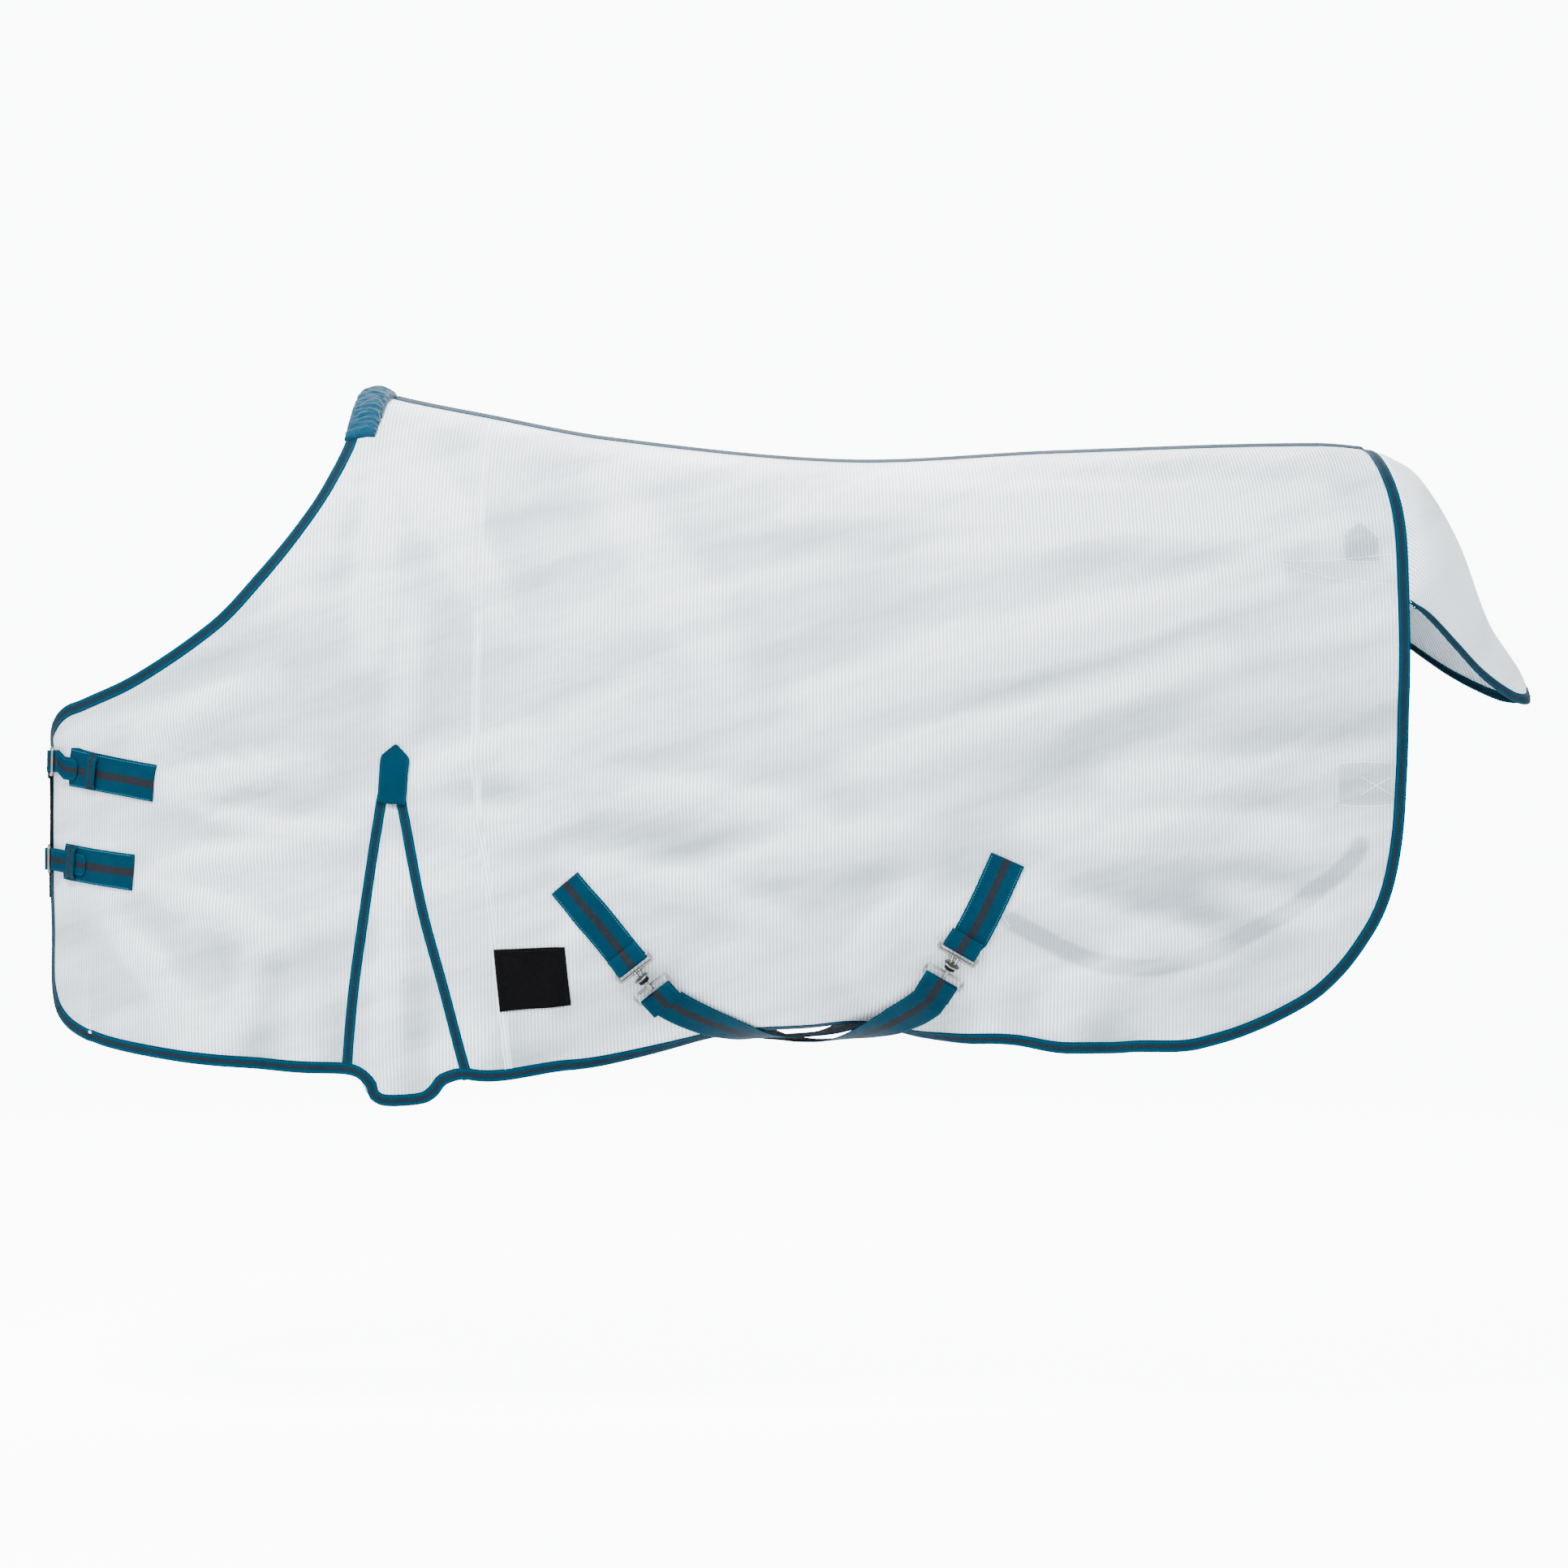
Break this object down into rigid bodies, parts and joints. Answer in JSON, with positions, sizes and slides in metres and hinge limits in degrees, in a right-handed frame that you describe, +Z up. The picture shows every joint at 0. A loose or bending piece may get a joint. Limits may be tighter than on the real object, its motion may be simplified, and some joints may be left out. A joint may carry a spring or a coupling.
{
  "type": "horse fly sheet",
  "caption": "Ribbed mesh horse fly sheet with shoulder gussets, fleece withers pad, chest buckles, cross surcingles with hook clips, leg straps and tail flap.",
  "frame": {"origin": "the horse's withers on the centre plane, under the fleece pad", "axes": "+X to the tail, -Y to the horse's near (left) side, +Z up"},
  "size_m": [2.1905, 0.6148, 1.0371],
  "materials": {
    "mesh": "ribbed open mesh",
    "tape": "woven binding with a dark stripe",
    "webbing": "woven webbing with a dark stripe",
    "fleece": "deep pile fleece",
    "facing": "matt woven",
    "steel": "bright plated",
    "rubber": "matt"
  },
  "bodies": {
    "sheet": {"belly_strap_front": "webbing", "belly_strap_rear": "webbing", "body_panel_far": "mesh", "body_panel_near": "mesh", "chest_billet_lower": "webbing", "chest_billet_upper": "webbing", "chest_keeper_lower": "webbing", "chest_keeper_upper": "webbing", "chest_lining": "facing", "chest_strap_lower": "webbing", "chest_strap_upper": "webbing", "gusset_binding_front_far": "tape", "gusset_binding_front_near": "tape", "gusset_binding_rear_far": "tape", "gusset_binding_rear_near": "tape", "gusset_far": "mesh", "gusset_near": "mesh", "gusset_patch_far": "webbing", "gusset_patch_near": "webbing", "hem_binding_far": "tape", "hem_binding_near": "tape", "label_patch": "facing", "leg_eye_far": "steel", "leg_eye_near": "steel", "leg_patch_far": "mesh", "leg_patch_near": "mesh", "leg_strap_far": "webbing", "leg_strap_near": "webbing", "neck_binding_far": "tape", "neck_binding_near": "tape", "shoulder_panel_far": "mesh", "shoulder_panel_near": "mesh", "spine_binding": "tape", "surcingle_patch_front": "webbing", "surcingle_patch_rear": "webbing", "tail_patch_far": "mesh", "tail_patch_near": "mesh", "withers_pad": "fleece"},
    "tail_flap": {"tail_flap": "mesh", "tail_flap_binding": "tape"},
    "chest_buckle_upper": {"chest_buckle_upper": "steel"},
    "chest_buckle_lower": {"chest_buckle_lower": "steel"},
    "surcingle_hook_front": {"surcingle_hook_front": "steel"},
    "rubber_ring_front": {"rubber_ring_front": "rubber"},
    "surcingle_eye_front": {"surcingle_eye_front": "steel"},
    "belly_slider_front": {"belly_slider_front": "steel"},
    "surcingle_hook_rear": {"surcingle_hook_rear": "steel"},
    "rubber_ring_rear": {"rubber_ring_rear": "rubber"},
    "surcingle_eye_rear": {"surcingle_eye_rear": "steel"},
    "belly_slider_rear": {"belly_slider_rear": "steel"},
    "leg_ring_near": {"leg_ring_near": "steel"},
    "leg_clip_near": {"leg_clip_near": "steel"},
    "leg_gate_near": {"leg_gate_near": "steel"},
    "leg_slider_near": {"leg_slider_near": "steel"},
    "leg_ring_far": {"leg_ring_far": "steel"},
    "leg_clip_far": {"leg_clip_far": "steel"},
    "leg_gate_far": {"leg_gate_far": "steel"},
    "leg_slider_far": {"leg_slider_far": "steel"}
  },
  "joints": [
    {"name": "tail_flap_lift", "type": "hinge", "parent": "sheet", "child": "tail_flap", "pos_m": [1.458, 0, -0.0768], "axis": [0, -1, 0], "range_deg": [0, 60]},
    {"name": "chest_buckle_upper_tilt", "type": "hinge", "parent": "sheet", "child": "chest_buckle_upper", "pos_m": [-0.46504, -0.07093, -0.53583], "axis": [0.0132, 0.0162, 0.9998], "range_deg": [-3, 1.3]},
    {"name": "chest_buckle_lower_tilt", "type": "hinge", "parent": "sheet", "child": "chest_buckle_lower", "pos_m": [-0.47101, -0.06028, -0.67811], "axis": [0.0053, -0.0151, 0.9999], "range_deg": [-3, 1.3]},
    {"name": "surcingle_hook_front_tilt", "type": "hinge", "parent": "sheet", "child": "surcingle_hook_front", "pos_m": [0.38854, -0.25303, -0.8218], "axis": [0.7776, -0.1515, 0.6102], "range_deg": [-1.5, 1.5]},
    {"name": "rubber_ring_front_slide", "type": "slide", "parent": "surcingle_hook_front", "child": "rubber_ring_front", "axis": [0.628, 0.2331, -0.7424], "range_m": [0, 0.0025]},
    {"name": "surcingle_eye_front_tilt", "type": "hinge", "parent": "sheet", "child": "surcingle_eye_front", "pos_m": [0.42249, -0.24179, -0.86228], "axis": [0.7776, -0.1515, 0.6102], "range_deg": [-3, 3]},
    {"name": "belly_slider_front_slide", "type": "slide", "parent": "sheet", "child": "belly_slider_front", "axis": [0.488, 0.842, 0.23], "range_m": [-0.006, 0.006]},
    {"name": "surcingle_hook_rear_tilt", "type": "hinge", "parent": "sheet", "child": "surcingle_hook_rear", "pos_m": [0.84474, -0.28277, -0.80019], "axis": [0.8677, 0.0163, -0.4969], "range_deg": [-1.5, 1.5]},
    {"name": "rubber_ring_rear_slide", "type": "slide", "parent": "surcingle_hook_rear", "child": "rubber_ring_rear", "axis": [-0.4671, 0.3691, -0.8035], "range_m": [0, 0.0025]},
    {"name": "surcingle_eye_rear_tilt", "type": "hinge", "parent": "sheet", "child": "surcingle_eye_rear", "pos_m": [0.81928, -0.26414, -0.84404], "axis": [0.8677, 0.0163, -0.4969], "range_deg": [-3, 3]},
    {"name": "belly_slider_rear_slide", "type": "slide", "parent": "sheet", "child": "belly_slider_rear", "axis": [-0.463, 0.8519, 0.2447], "range_m": [-0.006, 0.006]},
    {"name": "leg_ring_near_tilt", "type": "hinge", "parent": "sheet", "child": "leg_ring_near", "pos_m": [1.40926, -0.25128, -0.60201], "axis": [0.9805, 0.135, -0.143], "range_deg": [-5, 5]},
    {"name": "leg_clip_near_swivel", "type": "hinge", "parent": "sheet", "child": "leg_clip_near", "pos_m": [1.40926, -0.25128, -0.60201], "axis": [-0.1435, -0.0057, -0.9896], "range_deg": [-20, 20]},
    {"name": "leg_gate_near_open", "type": "hinge", "parent": "leg_clip_near", "child": "leg_gate_near", "pos_m": [1.40509, -0.25543, -0.63452], "axis": [-0.9805, -0.135, 0.143], "range_deg": [0, 20], "stiffness_Nm_per_rad": 0.02},
    {"name": "leg_slider_near_slide", "type": "slide", "parent": "sheet", "child": "leg_slider_near", "axis": [-0.8745, -0.0454, -0.4829], "range_m": [-0.009, 0.009]},
    {"name": "leg_ring_far_tilt", "type": "hinge", "parent": "sheet", "child": "leg_ring_far", "pos_m": [1.40926, 0.25128, -0.60201], "axis": [-0.9805, 0.135, 0.143], "range_deg": [-5, 5]},
    {"name": "leg_clip_far_swivel", "type": "hinge", "parent": "sheet", "child": "leg_clip_far", "pos_m": [1.40926, 0.25128, -0.60201], "axis": [0.1435, -0.0057, 0.9896], "range_deg": [-20, 20]},
    {"name": "leg_gate_far_open", "type": "hinge", "parent": "leg_clip_far", "child": "leg_gate_far", "pos_m": [1.40509, 0.25543, -0.63452], "axis": [0.9805, -0.135, -0.143], "range_deg": [0, 20], "stiffness_Nm_per_rad": 0.02},
    {"name": "leg_slider_far_slide", "type": "slide", "parent": "sheet", "child": "leg_slider_far", "axis": [-0.8745, 0.0454, -0.4829], "range_m": [-0.009, 0.009]}
  ]
}
